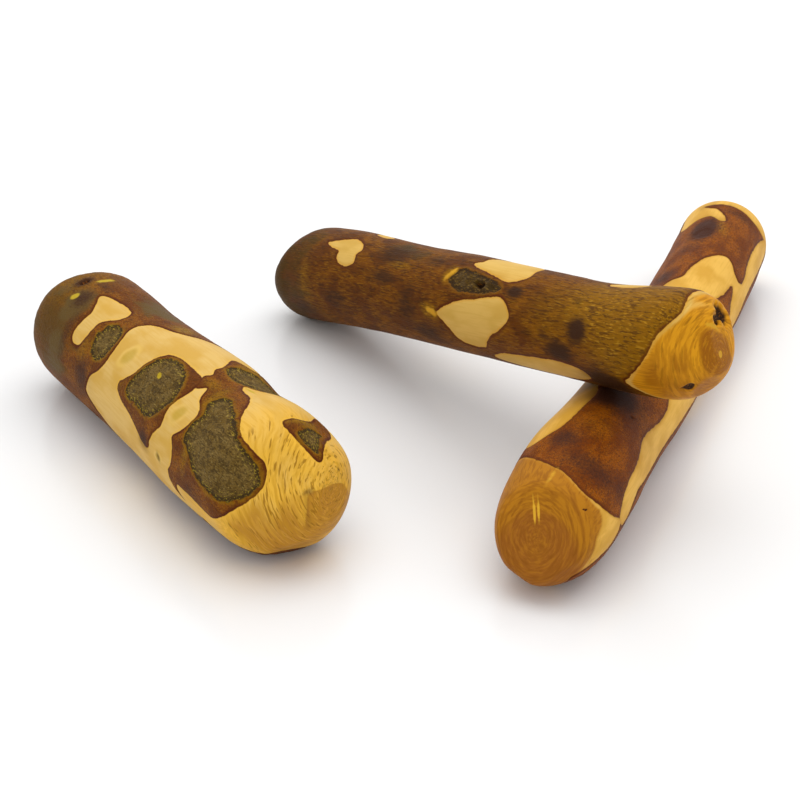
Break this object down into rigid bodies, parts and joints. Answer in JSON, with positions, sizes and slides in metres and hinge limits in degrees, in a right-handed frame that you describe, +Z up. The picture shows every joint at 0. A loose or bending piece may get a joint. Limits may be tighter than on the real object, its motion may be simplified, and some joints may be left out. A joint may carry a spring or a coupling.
{
  "type": "loose bunch of sanded twigs",
  "caption": "Short, thick natural twigs with rounded sanded ends and bark left on in patches, lying together as a loose bunch.",
  "frame": {"origin": "on the ground, under the middle of the group's bounding box", "axes": "+Z up; +Y runs away from the sanded front ends of the lying twigs, +X to the right of it"},
  "size_m": [0.2608, 0.2414, 0.074],
  "materials": {
    "mottled_bark_wood": "sanded pale wood with red-brown inner bark and patches of grey-green outer bark, satin",
    "brown_bark_wood": "fibrous brown inner bark with sanded pale patches and an oiled golden end, satin",
    "red_bark_wood": "red-brown inner bark over cream wood with an orange end-grain face, satin"
  },
  "bodies": {
    "root": {"thick_twig": "mottled_bark_wood", "upper_twig": "brown_bark_wood", "lower_twig": "red_bark_wood"}
  },
  "joints": []
}
